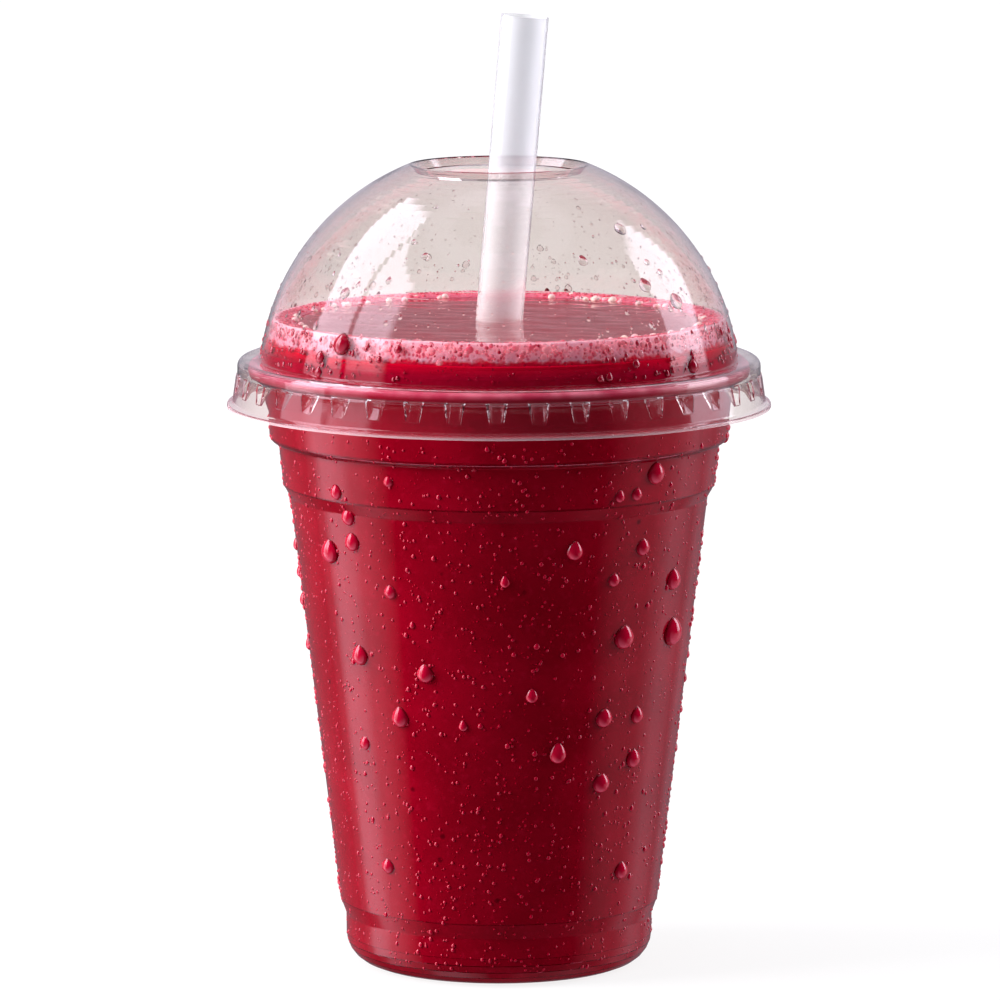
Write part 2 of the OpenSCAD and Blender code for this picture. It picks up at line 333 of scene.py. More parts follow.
def froth_colour(tree, place, cells):
    """Pale at the crest, redder on its inner side, and as red as the drink at its foot."""
    foot, crest = (corner[2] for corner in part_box("foam"))
    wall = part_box("foam")[1][0]
    ragged = math_of(tree, "SUBTRACT", noise(tree, place, 420, detail=3), 0.5)
    at = total_of(tree, height_of(tree, place), product(tree, ragged, RAGGED))
    froth = mixed_colour(tree, ramp(tree, cells, 0.15, 0.55), (*FROTH_DEEP, 1), (*FROTH_PALE, 1))
    white = ramp(tree, at, foot + WHITE_FROM, crest - WHITE_TO, 0.0, 0.75)
    froth = mixed_colour(tree, white, froth, (*FROTH_WHITE, 1))
    flat = add(tree, "ShaderNodeVectorMath", {0: place, 1: (1, 1, 0)}, operation="MULTIPLY").outputs[0]
    reach = add(tree, "ShaderNodeVectorMath", {0: flat}, operation="LENGTH").outputs["Value"]
    inner = ramp(tree, reach, wall - INNER_TO, wall - INNER_FROM, 1.0, 0.0)
    froth = mixed_colour(tree, inner, froth, mixed_colour(tree, cells, (*FROTH_DEEP, 1), (*TOP_PALE, 1)))
    above_foot = ramp(tree, at, foot + FROTH_FROM[0], foot + FROTH_FROM[1])
    return mixed_colour(tree, above_foot, (*DRINK_LIT, 1), froth)


def froth_material():
    """Froth between and behind the bubbles."""
    material, tree = new_material("fruit_foam")
    place = object_place(tree)
    cells = add(tree, "ShaderNodeTexVoronoi", {"Vector": place, "Scale": 1250.0}).outputs["Distance"]
    inputs = {
        "Base Color": froth_colour(tree, place, cells),
        "Roughness": 0.3,
        "IOR": 1.36,
        "Normal": bump(tree, 0.6, 0.25 * MM, cells),
        "Subsurface Weight": 0.75,
        "Subsurface Radius": (1.0, 0.5, 0.55),
        "Subsurface Scale": 4 * MM,
    }
    finish_material(tree, add(tree, "ShaderNodeBsdfPrincipled", inputs).outputs[0])
    return material


def bubble_material(name, deep, pale, clear):
    """Thin bubble film over the drink: pale at its rim, deeper where it shows what is behind it."""
    material, tree = new_material(name)
    tone = noise(tree, object_place(tree), 500, detail=1)
    inputs = {
        "Base Color": mixed_colour(tree, ramp(tree, tone, 0.35, 0.65), (*deep, 1), (*pale, 1)),
        "Roughness": 0.08,
        "IOR": 1.2,
        "Transmission Weight": clear,
        "Coat Weight": 0.6,
        "Coat Roughness": 0.02,
        "Sheen Weight": 1.0,
        "Sheen Roughness": 0.25,
        "Sheen Tint": (1.0, 0.82, 0.84, 1),
    }
    film = add(tree, "ShaderNodeBsdfPrincipled", inputs).outputs[0]
    finish_material(tree, clear_to(tree, shadow_rays(tree), film, BUBBLE_SHADOW))
    return material


# The straw's tone above the lid and its whiter tone inside the dome, the tint of light through it, and the
# height under the lid's top over which the tones change
STRAW_ABOVE_LID = (0.88, 0.885, 0.9)
STRAW_IN_DOME = (0.97, 0.98, 0.985)
STRAW_SHADOW = (0.88, 0.88, 0.89)
IN_DOME_FADE = 2 * MM


def straw_material():
    """Milky plastic that light passes through, a little whiter inside the dome than above the lid."""
    material, tree = new_material("straw_plastic")
    lid_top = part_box("lid")[1][2]
    in_dome = ramp(tree, height_of(tree, object_place(tree)), lid_top - IN_DOME_FADE, lid_top, 1.0, 0.0)
    inputs = {
        "Base Color": mixed_colour(tree, in_dome, (*STRAW_ABOVE_LID, 1), (*STRAW_IN_DOME, 1)),
        "Roughness": 0.1,
        "IOR": 1.45,
        "Transmission Weight": 0.78,
    }
    milk = add(tree, "ShaderNodeBsdfPrincipled", inputs).outputs[0]
    finish_material(tree, clear_to(tree, shadow_rays(tree), milk, STRAW_SHADOW))
    return material


FILM_DEEP = (0.64, 0.05, 0.13)
FILM_PALE = (0.93, 0.26, 0.38)
FILM_SHADOW = (0.85, 0.5, 0.55)
# The film is paler from this far below the rim's top up to this far
PALE_FROM = 1.7 * MM
PALE_FULL = 0.3 * MM


def film_material():
    """A thin milky film of the drink, through which the cup's rim shows faintly."""
    material, tree = new_material("juice_film")
    place = object_place(tree)
    patch = ramp(tree, noise(tree, place, 160, detail=3), 0.35, 0.7)
    film_red = mixed_colour(tree, patch, (*FILM_DEEP, 1), (*FILM_PALE, 1))
    rim_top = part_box("cup")[1][2]
    upper = ramp(tree, height_of(tree, place), rim_top - PALE_FROM, rim_top - PALE_FULL)
    inputs = {
        "Base Color": mixed_colour(tree, upper, (*DRINK_RED, 1), film_red),
        "Roughness": 0.3,
        "IOR": 1.33,
        "Transmission Weight": 0.25,
    }
    film = add(tree, "ShaderNodeBsdfPrincipled", inputs).outputs[0]
    finish_material(tree, clear_to(tree, shadow_rays(tree), film, FILM_SHADOW))
    return material


# A drop's colours: painted shade where it gathers little light, as at its rim, its red, and the pink of the
# painted light that it gathers
DROP_PAINTED_SHADE = (0.2, 0.0, 0.008)
DROP_RED = (0.5, 0.002, 0.028)
DROP_PAINTED_GLOW = (1.0, 0.12, 0.2)


def drop_material(name, clear):
    """Water that shows the red drink behind it, with painted light and shade from its glow: a dark rim of
    painted shade, and painted light low on one side.
    """
    material, tree = new_material(name)
    glow = add(tree, "ShaderNodeAttribute", attribute_name="glow").outputs["Fac"]
    body = mixed_colour(tree, ramp(tree, glow, 0.0, 0.4), (*DROP_PAINTED_SHADE, 1), (*DROP_RED, 1))
    inputs = {
        "Base Color": mixed_colour(tree, ramp(tree, glow, 0.55, 1.05), body, (*DROP_PAINTED_GLOW, 1)),
        "Roughness": 0.2,
        "IOR": 1.05,
        "Specular IOR Level": 0.0,
        "Transmission Weight": clear,
        "Coat Weight": 1.0,
        "Coat IOR": 2.0,
        "Coat Roughness": 0.02,
    }
    finish_material(tree, add(tree, "ShaderNodeBsdfPrincipled", inputs).outputs[0])
    return material


# Meshes

def new_piece(name, points, faces, body, material):
    mesh = bpy.data.meshes.new(name)
    mesh.from_pydata(points, [], faces)
    mesh.shade_smooth()
    mesh.materials.append(material)
    piece = bpy.data.objects.new(name, mesh)
    bpy.context.scene.collection.objects.link(piece)
    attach(piece, body)
    return piece


def surface_of(node):
    """A tree of a CAD node's faces, to find where a ray meets it."""
    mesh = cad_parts[node].data
    points = [v.co for v in mesh.vertices]
    return BVHTree.FromPolygons(points, [p.vertices[:] for p in mesh.polygons])


# Further from the axis than any part of the object
WELL_OUTSIDE = 0.3


def outside_at(tree, azimuth, z):
    """The point and normal where a level ray from outside first meets a node."""
    out = vector(azimuth, 0)
    place, normal, _, _ = tree.ray_cast(out * WELL_OUTSIDE + Vector((0, 0, z)), -out)
    return place, normal


def joined(parts):
    """Many (points, faces) pairs as one pair."""
    points, faces, count = [], [], 0
    for some_points, some_faces in parts:
        points.extend(some_points)
        faces.extend([tuple(i + count for i in face) for face in some_faces])
        count += len(some_points)
    return points, faces


def disc_faces(segments, rings):
    """Faces of a disc whose first point is its middle, with its rings of points one after another."""
    faces = []
    for step in range(segments):
        after = (step + 1) % segments
        faces.append((0, 1 + step, 1 + after))
        for ring in range(rings - 1):
            inner, outer = 1 + ring * segments, 1 + (ring + 1) * segments
            faces.append((inner + step, outer + step, outer + after, inner + after))
    return faces


def random_radius(size, spread, most):
    """Most radii are near size, and none is above most, both in mm."""
    return min(rng.lognormal(math.log(size), spread), most) * MM


def drop_form(segments, rings, contact):
    """A drop of radius 1 on a flat base, which it meets at the contact angle: its points and faces."""
    alpha = math.radians(contact)
    points = [(0.0, 0.0, (1 - math.cos(alpha)) / math.sin(alpha))]
    for ring in range(1, rings + 1):
        share = ring / rings
        radius = math.sin(share * alpha) / math.sin(alpha)
        height = (math.cos(share * alpha) - math.cos(alpha)) / math.sin(alpha)
        for step in range(segments):
            turn = 2 * math.pi * step / segments
            points.append((radius * math.cos(turn), radius * math.sin(turn), height))
    faces = disc_faces(segments, rings)
    last = 1 + (rings - 1) * segments
    faces.append(tuple(last + step for step in reversed(range(segments))))
    return np.array(points), faces


# A drop's flat base lies this far inside the surface that carries it
DROP_SUNK = 0.1 * MM


def drop_at(form, place, normal, radius, stretch, sag):
    """One drop on a surface: drawn out upwards by stretch, narrower at its top and fuller below by sag."""
    shape, faces = form
    up = (WORLD_UP - normal * normal.dot(WORLD_UP)).normalized()
    across = up.cross(normal).normalized()
    u, v, h = shape[:, 0], shape[:, 1], shape[:, 2]
    u = u * (1 - sag * np.clip(v, 0, 1))
    h = h * (1 - 0.5 * sag * v)
    v = np.where(v > 0, v * stretch, v)
    local = np.stack([u, v, h], axis=1) * radius
    base = np.array([across, up, normal])
    return local @ base + np.array(place - normal * DROP_SUNK), faces


make_camera()

# The lid's skirt gets a faint haze and a painted highlight along its turned edge
clear_lid = clear_material("lid_sheet", LID_TINT, ior=1.5, roughness=0.01, wave=0.12, haze_and_highlight=SKIRT_HAZE_AND_HIGHLIGHT)
clear_cup = clear_material("cup_sheet", CUP_TINT, ior=1.5, roughness=0.02, wave=0.1)
clear_water = clear_material("lid_water", WATER_TINT, ior=1.08, roughness=0.0, gloss=1.0)
juice_film = film_material()
red_drink = drink_material()
wet_drink = surface_material()
froth = froth_material()
bubble_film = bubble_material("fruit_bubbles", BUBBLE_RED, BUBBLE_PALE, clear=0.5)
top_film = bubble_material("top_bubbles", TOP_RED, TOP_PALE, clear=0.25)
cream_film = bubble_material("cream_bubbles", BUBBLE_PALE, CREAM, clear=0.0)
milky_straw = straw_material()
red_water = drop_material("cup_water", clear=0.0)
pink_water = drop_material("lid_low_water", clear=0.45)

for node, material in {
    "cup": clear_cup,
    "lid": clear_lid,
    "drink": red_drink,
    "foam": froth,
    "straw": milky_straw,
}.items():
    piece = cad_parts[node]
    for slot in piece.material_slots:
        slot.material = material

cup_surface = surface_of("cup")
lid_surface = surface_of("lid")

# The drink: its outline is the CAD solid's, a hair wider where it wets the cup

foam_low, foam_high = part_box("foam")
SURFACE_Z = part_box("drink")[1][2]
RING_STEPS = 192


def turned(name, outline, body, material, ripple=None):
    """A closed ring of faces made by turning [(radius, height), ...] round the axis."""
    points, faces = [], []
    count = len(outline)
    for step in range(RING_STEPS):
        turn = 2 * math.pi * step / RING_STEPS
        for radius, z in outline:
            extra_r, extra_z = ripple(radius, z, turn) if ripple else (0, 0)
            reach = radius + extra_r
            points.append((reach * math.cos(turn), reach * math.sin(turn), z + extra_z))
    for step in range(RING_STEPS):
        after = (step + 1) % RING_STEPS
        for i in range(count - 1):
            faces.append((step * count + i, after * count + i, after * count + i + 1, step * count + i + 1))
    return new_piece(name, points, faces, body, material)


# How far the drink swells, how far under its surface that ends and over what height it fades out
WET_DEPTH = 0.46 * MM
DRY_BELOW = 4 * MM
WET_FADE = 1.5 * MM
# Nothing swells this near the axis, where the straw stands
STRAW_CLEAR = 17 * MM


def make_drink_fill():
    """The drink's own solid, swollen a little so that it wets the cup's wall with no air between."""
    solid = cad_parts["drink"].data
    points = []
    for v in solid.vertices:
        fade = min(1, max(0, (SURFACE_Z - DRY_BELOW - v.co.z) / WET_FADE))
        swell = WET_DEPTH * fade if v.co.xy.length > STRAW_CLEAR else 0
        points.append(v.co + v.normal * swell)
    faces = [p.vertices[:] for p in solid.polygons]
    fill = new_piece("drink_fill", points, faces, CUP_BODY, red_drink)
    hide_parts("drink")


make_drink_fill()

# Drink that crept over the cup's rolled rim and stays there as a thin film under the lid

FILM = 0.12 * MM
# Radius of the cup's rolled bead, and the air left between it and the film
BEAD_R = 1.4 * MM
FILM_GAP = 0.02 * MM
# The part of the bead that the film covers, in degrees above the level outwards
FILM_LOW, FILM_HIGH, FILM_STEP = -30, 165, 15


def make_rim_film():
    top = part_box("cup")[1]
    centre_r, centre_z = top[0] - BEAD_R, top[2] - BEAD_R
    upwards = range(FILM_LOW, FILM_HIGH + 1, FILM_STEP)
    outline = []
    for reach, angles in ((BEAD_R + FILM, reversed(upwards)), (BEAD_R + FILM_GAP, upwards)):
        for angle in angles:
            turn = math.radians(angle)
            outline.append((centre_r + reach * math.cos(turn), centre_z + reach * math.sin(turn)))
    outline.append(outline[0])
    turned("rim_film", outline, CUP_BODY, juice_film)


make_rim_film()

# The drink's top, with slow ripples that run out at its edge

SURFACE_R = 39.4 * MM
SURFACE_RINGS = 90
SURFACE_LIFT = 0.2 * MM
RIPPLES = 16
RIPPLE_FADE = 6 * MM
# Height of a ripple for each metre of its length
RIPPLE_STEEP = 0.0022


def ripple_waves():
    """Waves that run all ways: (x part, y part, turns for a metre, phase, height) of each."""
    waves = []
    for _ in range(RIPPLES):
        turn = rng.uniform(0, 2 * math.pi)
        length = rng.uniform(2, 12) * MM
        phase = rng.uniform(0, 2 * math.pi)
        waves.append((math.cos(turn), math.sin(turn), 2 * math.pi / length, phase, length * RIPPLE_STEEP))
    return waves


def make_drink_surface():
    waves = ripple_waves()
    level = SURFACE_Z + SURFACE_LIFT
    points = [(0, 0, level)]
    for ring in range(1, SURFACE_RINGS + 1):
        radius = SURFACE_R * ring / SURFACE_RINGS
        fade = min(1, (SURFACE_R - radius) / RIPPLE_FADE)
        for step in range(RING_STEPS):
            turn = 2 * math.pi * step / RING_STEPS
            x, y = radius * math.cos(turn), radius * math.sin(turn)
            wave = sum(a * math.sin(k * (x * cx + y * cy) + p) for cx, cy, k, p, a in waves)
            points.append((x, y, level + wave * fade))
    faces = disc_faces(RING_STEPS, SURFACE_RINGS)
    new_piece("drink_surface", points, faces, CUP_BODY, wet_drink)


make_drink_surface()

# The foam: a soft bed, and bubbles packed over it against the dome and along the surface

BED_INSET = 0.28 * MM
# The bed stays this far above the foam's foot and below its top
BED_FOOT = 0.02 * MM
BED_TOP = 0.05 * MM
BED_EDGE_R = SURFACE_R - 0.6 * MM
WALL_BUBBLES = 900
TOP_BUBBLES = 1500
CREAM_BUBBLES = 70
# The cream-coloured ones float this far above the drink's surface, where the photograph's are seen
CREAM_LEVEL = 0.6 * MM

# Cream-coloured bubbles along the far edge of the surface: pixel column and row, width in mm
BACK_BUBBLES = [
    (415, 296, 1.5), (429, 293, 1.5), (439, 292, 1.3), (451, 293, 1.7), (466, 292, 1.7), (551, 294, 1.7),
    (572, 295, 1.8), (583, 297, 1.3), (596, 298, 1.9), (613, 299, 2.0), (622, 299, 1.3),
]

# The larger bubbles of the foam's front: pixel column and row, width in mm
FRONT_BUBBLES = [
    (548, 352, 2.5), (399, 351, 1.8), (386, 350, 1.3), (418, 351, 1.4), (430, 353, 2.2), (467, 353, 1.1),
    (524, 353, 1.2), (610, 351, 1.5), (492, 357, 1.0),
]


def ball_form(subdivisions):
    ball = bmesh.new()
    bmesh.ops.create_icosphere(ball, subdivisions=subdivisions, radius=1)
    points = np.array([v.co[:] for v in ball.verts])
    faces = [tuple(v.index for v in f.verts) for f in ball.faces]
    ball.free()
    return points, faces


foam_surface = surface_of("foam")


def foam_wall(z):
    """The foam's outer radius at a height."""
    place, _ = outside_at(foam_surface, 0, min(max(z, foam_low[2] + BED_FOOT), foam_high[2] - BED_TOP))
    return Vector((place.x, place.y)).length


CREST_WAVE = 0.05 * MM
# The foam's crest, inwards from its wall: [(across, down), ...] in mm
CREST = [(0.8, 0.06), (1.6, 0.16), (2.8, 0.36), (3.8, 0.66), (4.5, 0.95)]


def make_foam_bed():
    """The foam's own section, a little smaller, with a slightly uneven crest."""
    heights = np.linspace(foam_low[2] + BED_FOOT, foam_high[2] - BED_TOP, 12)
    outline = [(foam_wall(z) - BED_INSET, z) for z in heights]
    crest_r = outline[-1][0]
    outline += [(crest_r - across * MM, foam_high[2] - BED_TOP - down * MM) for across, down in CREST]
    outline.append((BED_EDGE_R, SURFACE_Z))
    outline.append(outline[0])
    phases = rng.uniform(0, 2 * math.pi, 6)

    def ripple(radius, z, turn):
        wave = sum(math.sin((9 + 8 * i) * turn + phase) / (1 + i) for i, phase in enumerate(phases))
        lift = max(0, z - SURFACE_Z - 0.1 * MM) / (foam_high[2] - SURFACE_Z)
        return 0, -CREST_WAVE * lift * (1 + wave)

    bed = turned("foam_bed", outline, CUP_BODY, froth, ripple)
    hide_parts("foam")


# A bubble at the dome is pressed to this share of its width, a hair inside the foam's wall
BUBBLE_FLAT = 0.4
BUBBLE_GAP = 0.02 * MM


def pressed(form, azimuth, z, radius):
    """A bubble that lies flat against the inside of the dome, half sunk in the bed."""
    ball_points, ball_faces = form
    out = vector(azimuth, 0)
    basis = np.array([WORLD_UP.cross(out), out, WORLD_UP])
    reach = foam_wall(z) - BUBBLE_GAP - BUBBLE_FLAT * radius
    centre = np.array(out) * reach + np.array([0, 0, z])
    return (ball_points * radius * np.array([1, BUBBLE_FLAT, 1])) @ basis + centre, ball_faces


def make_wall_bubbles(form):
    """Bubbles pressed against the inside of the dome, fewer towards the foam's foot."""
    parts = []
    for x, y, width in FRONT_BUBBLES:
        start, way = pixel_ray(x, y)
        place, _, _, _ = foam_surface.ray_cast(start, way)
        radius = width / 2 * MM
        z = min(place.z, foam_high[2] - radius)
        parts.append(pressed(form, math.degrees(math.atan2(place.x, -place.y)), z, radius))
    for _ in range(WALL_BUBBLES):
        radius = random_radius(0.32, 0.4, 0.9)
        z = foam_high[2] - radius - abs(rng.normal(0.3, 1.2)) * MM
        if z < foam_low[2]:
            z = foam_low[2] + rng.uniform(-0.6, 0.8) * MM
        parts.append(pressed(form, rng.uniform(-180, 180), z, radius))
    points, faces = joined(parts)
    new_piece("foam_wall_bubbles", points, faces, CUP_BODY, bubble_film)


def crest_level(reach):
    """The height of the foam's top at a distance from the axis."""
    top = foam_high[2] - BED_TOP
    across = [0] + [a * MM for a, _ in CREST]
    level = [top] + [top - d * MM for _, d in CREST]
    return float(np.interp(foam_wall(top) - BED_INSET - reach, across, level))


def make_top_bubbles(form):
    """Bubbles afloat on the foam's crest, thinning out inwards."""
    ball_points, ball_faces = form
    crest = foam_wall(foam_high[2] - 0.2 * MM) - BED_INSET
    parts = []
    for _ in range(TOP_BUBBLES):
        radius = random_radius(0.3, 0.45, 1.0)
        reach = crest - radius - abs(rng.normal(0.6, 2.2)) * MM
        out = vector(rng.uniform(-180, 180), 0) * reach
        level = crest_level(reach) if reach > BED_EDGE_R else SURFACE_Z
        top = min(level + 0.5 * radius, foam_high[2])
        parts.append((ball_points * radius + np.array([out.x, out.y, top - radius]), ball_faces))
    points, faces = joined(parts)
    new_piece("foam_top_bubbles", points, faces, CUP_BODY, top_film)


def make_cream_bubbles(form):
    """Larger pale bubbles along the inner foot of the foam."""
    ball_points, ball_faces = form
    places = []
    for x, y, width in BACK_BUBBLES:
        start, way = pixel_ray(x, y)
        place = start + way * ((SURFACE_Z + CREAM_LEVEL - start.z) / way.z)
        places.append((place.x, place.y, width / 2 * MM))
    for _ in range(CREAM_BUBBLES):
        out = vector(rng.uniform(-75, 75) + rng.choice([-90, 90]), 0)
        out *= SURFACE_R - rng.uniform(0.2, 1.5) * MM
        places.append((out.x, out.y, rng.uniform(0.4, 0.85) * MM))
    parts = []
    for x, y, radius in places:
        lift = min(0.25 * radius, foam_high[2] - SURFACE_Z - radius)
        parts.append((ball_points * radius + np.array([x, y, SURFACE_Z + lift]), ball_faces))
    points, faces = joined(parts)
    new_piece("foam_cream_bubbles", points, faces, CUP_BODY, cream_film)


bubble_form = ball_form(2)
make_foam_bed()
make_wall_bubbles(bubble_form)
make_top_bubbles(bubble_form)
make_cream_bubbles(bubble_form)

# Condensation. The large drops are where the photograph shows them: pixel column and row, width in mm

CUP_DROPS = [
    (348, 517, 2.4), (352, 542, 2.6), (330, 551, 2.6), (390, 592, 2.3), (360, 655, 2.7), (425, 674, 3.2),
    (400, 718, 3.1), (365, 743, 1.8), (388, 866, 2.2), (656, 473, 3.0), (637, 494, 2.0), (620, 497, 1.9),
    (643, 547, 2.4), (575, 552, 3.1), (673, 579, 2.2), (614, 580, 2.2), (624, 637, 3.6), (672, 631, 2.9),
    (532, 697, 2.4), (604, 718, 3.1), (637, 715, 2.1), (558, 755, 3.2), (633, 758, 2.4), (601, 783, 3.2),
    (621, 870, 2.2), (505, 583, 1.9), (463, 727, 1.7), (336, 492, 2.0), (388, 482, 1.8),
]

# Drops seen in profile on the cup's edges: angle round the axis, pixel row, width in mm
EDGE_DROPS = [
    (-88, 544, 2.2), (-88, 571, 2.2), (-88, 599, 2.4), (-88, 644, 2.2),
    (88, 654, 1.5), (88, 678, 1.6), (88, 709, 1.5),
]
# Small drops that roughen both edges, on each side
EDGE_SMALL_DROPS = 110
EDGE_SPREAD = 9
EDGE_FROM = 12 * MM
CUP_MEDIUM_DROPS = 4000
CUP_FINE_DROPS = 7500
# The cup is wet from this far above its foot to this far below its rim
WET_FROM = 3 * MM
WET_TO = 10 * MM


def facing(normal, way):
    """How squarely a surface faces the camera: a drop's width is drawn narrower by this much."""
    level = Vector((normal.x, normal.y, 0)).normalized()
    return max(0.5, -level.dot(way))


# The painted light that a drop gathers, stored as its glow: everywhere, more to one side and more below. It
# ends in a dark rim of painted shade.
EVEN_GLOW = 0.45
SIDE_GLOW = 0.35
LOW_GLOW = 0.5
DARK_RIM = 0.22
SMALL_DROP_LIGHT = 0.75


def drop_glow(shape, side):
    """How much of the painted light that a drop gathers reaches each of its points: most low on one side,
    and fading to none at its rim of painted shade.
    """
    gathered = EVEN_GLOW + np.clip(SIDE_GLOW * side * shape[:, 0] - LOW_GLOW * shape[:, 1], 0, 1)
    reach = np.hypot(shape[:, 0], shape[:, 1])
    return gathered * np.clip((1 - reach) / DARK_RIM, 0, 1)


class Drops:
    """A growing set of drops that becomes one piece. Small ones gather less painted light."""

    def __init__(self, light=1.0):
        self.parts, self.glow, self.light = [], [], light

    def put(self, form, place, normal, radius, stretch, sag):
        self.parts.append(drop_at(form, place, normal, radius, stretch, sag))
        self.glow.append(self.light * drop_glow(form[0], -1 if place.x > 0 else 1))

    def piece(self, name, body, slot, material):
        points, faces = joined(self.parts)
        made = new_piece(name, points, faces, body, material)
        layer = made.data.attributes.new("glow", "FLOAT", "POINT")
        layer.data.foreach_set("value", np.concatenate(self.glow))


def shown_cup_drops(drops, form):
    """The large drops that the photograph shows, on the cup's face and in profile on its edges."""
    for x, y, width in CUP_DROPS:
        start, way = pixel_ray(x, y)
        place, normal, _, _ = cup_surface.ray_cast(start, way)
        square = facing(normal, way)
        stretch = max(1.0, 2 * rng.uniform(1.15, 1.35) * square - 1)
        drops.put(form, place, normal, width / 2 * MM / square, stretch, rng.uniform(0.25, 0.35))
    row_height = CAMERA_DISTANCE / FOCAL_PX / math.cos(CAMERA_PITCH)
    for azimuth, y, width in EDGE_DROPS:
        z = CAMERA_TARGET.z + (FRAME_PX / 2 - y) * row_height
        drops.put(form, *outside_at(cup_surface, azimuth, z), width / 2 * MM, rng.uniform(1.2, 1.6), 0.3)


def make_cup_drops():
    fine, medium, large = drop_form(6, 2, 58), drop_form(8, 3, 62), drop_form(22, 10, 66)
    drops, beads, mist = Drops(), Drops(SMALL_DROP_LIGHT), Drops(SMALL_DROP_LIGHT)
    low, high = (corner[2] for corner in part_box("cup"))
    shown_cup_drops(drops, large)
    for side in (-90, 90):
        for _ in range(EDGE_SMALL_DROPS):
            z = rng.uniform(low + EDGE_FROM, high - WET_TO)
            azimuth = side + rng.uniform(-EDGE_SPREAD, EDGE_SPREAD)
            radius = rng.uniform(0.35, 0.75) * MM
            drops.put(medium, *outside_at(cup_surface, azimuth, z), radius, rng.uniform(1.0, 1.4), 0.3)

    def scatter(some, form, count, size, spread, most):
        for _ in range(count):
            radius = random_radius(size, spread, most)
            z = rng.uniform(low + WET_FROM, high - WET_TO)
            place, normal = outside_at(cup_surface, rng.uniform(-180, 180), z)
            some.put(form, place, normal, radius, rng.uniform(1.0, 1.3), 0.3)

    scatter(beads, medium, CUP_MEDIUM_DROPS, 0.3, 0.3, 0.7)
    scatter(mist, fine, CUP_FINE_DROPS, 0.14, 0.45, 0.4)
    drops.piece("cup_drops", CUP_BODY, "cup_sheet", red_water)
    beads.piece("cup_beads", CUP_BODY, "cup_sheet", red_water)
    mist.piece("cup_mist", CUP_BODY, "cup_sheet", red_water)


make_cup_drops()

LID_DROPS = [
    (342, 344, 3.2), (345, 293, 1.6), (583, 261, 1.9), (620, 229, 1.9), (425, 256, 1.5), (645, 285, 2.1),
    (676, 301, 2.0), (320, 357, 1.6), (693, 366, 1.8), (436, 207, 0.9), (647, 262, 0.9), (660, 272, 0.9),
    (318, 372, 1.4), (398, 349, 1.5),
]
LID_FINE_DROPS = 1500
LID_MEDIUM_DROPS = 560
# The lid's front is drier: only fine drops lie within this angle of it
DRY_FRONT = 24
# Drops lie from just above the lid's flat ring up to this far under its top
RING_Z = 116.6 * MM
LID_DRY_TOP = 4 * MM


def make_lid_drops():
    """Drops on the lid. In front of the drink they carry its colour, and higher up they are clear."""
    fine, medium, large = drop_form(7, 3, 50), drop_form(12, 4, 58), drop_form(20, 6, 62)
    low, high = Drops(), Drops()

    def put(form, place, *rest):
        (high if place.z > foam_high[2] else low).put(form, place, *rest)

    for x, y, width in LID_DROPS:
        start, way = pixel_ray(x, y)
        place, normal, _, _ = lid_surface.ray_cast(start, way)
        square = facing(normal, way)
        stretch = max(1.0, 2 * rng.uniform(1.05, 1.3) * square - 1)
        put(large, place, normal, width / 2 * MM / square, stretch, 0.3)
    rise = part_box("lid")[1][2] - LID_DRY_TOP - RING_Z

    def scatter(form, count, size, most, shape, dry):
        """Drops on the dome, most of them low: a beta distribution of this shape spreads them in height."""
        for _ in range(count):
            radius = random_radius(size, 0.35, most)
            z = RING_Z + radius + rise * rng.beta(*shape)
            azimuth = rng.uniform(-180, 180)
            if abs(azimuth) >= dry:
                put(form, *outside_at(lid_surface, azimuth, z), radius, rng.uniform(1.1, 1.7), 0.25)

    scatter(fine, LID_FINE_DROPS, 0.16, 0.45, (0.8, 1.6), 0)
    scatter(medium, LID_MEDIUM_DROPS, 0.4, 0.8, (0.6, 2.6), DRY_FRONT)
    low.piece("lid_low_drops", LID_BODY, "lid_sheet", pink_water)
    high.piece("lid_drops", LID_BODY, "lid_sheet", clear_water)


make_lid_drops()

# Studio: a white floor and backdrop, softboxes on both sides, and soft light all round

FLOOR_SIZE = 6.0
FLOOR_GREY = 0.16
FLOOR_LIFT = [(0.0, 0.83), (0.25, 0.86), (0.6, 0.9), (1.0, 0.93), (1.8, 0.945)]
SCENE_CENTRE = Vector((0, 0, 0.1))


def straight_through(tree):
    """1 for camera rays, and for rays that have only passed through something clear."""
    path = add(tree, "ShaderNodeLightPath").outputs
    bounced = math_of(tree, "ADD", path["Glossy Depth"], path["Diffuse Depth"])
    clear = math_of(tree, "MULTIPLY", path["Is Transmission Ray"], math_of(tree, "LESS_THAN", bounced, 0.5))
    return math_of(tree, "MAXIMUM", path["Is Camera Ray"], clear)


def make_floor():
    half = FLOOR_SIZE / 2
    corners = [(-half, -half, 0), (half, -half, 0), (half, half, 0), (-half, half, 0)]
    mesh = bpy.data.meshes.new("floor")
    mesh.from_pydata(corners, [], [(0, 1, 2, 3)])
    floor = bpy.data.objects.new("floor", mesh)
    bpy.context.scene.collection.objects.link(floor)
    material, tree = new_material("floor")
    matt = add(tree, "ShaderNodeBsdfDiffuse", {"Color": (FLOOR_GREY, FLOOR_GREY, FLOOR_GREY, 1)}).outputs[0]
    away = add(tree, "ShaderNodeVectorMath", {0: object_place(tree)}, operation="LENGTH").outputs["Value"]
    lift = math_of(tree, "MULTIPLY", straight_through(tree), steps(tree, away, FLOOR_LIFT))
    glow = add(tree, "ShaderNodeEmission", {"Strength": lift}).outputs[0]
    seen = add(tree, "ShaderNodeAddShader", {0: matt, 1: glow}).outputs[0]
    path = add(tree, "ShaderNodeLightPath").outputs
    mirrored = math_of(tree, "GREATER_THAN", path["Glossy Depth"], 0.5)
    finish_material(tree, clear_to(tree, mirrored, seen, (1, 1, 1)))
    mesh.materials.append(material)
    floor.visible_glossy = False
    floor.visible_diffuse = False


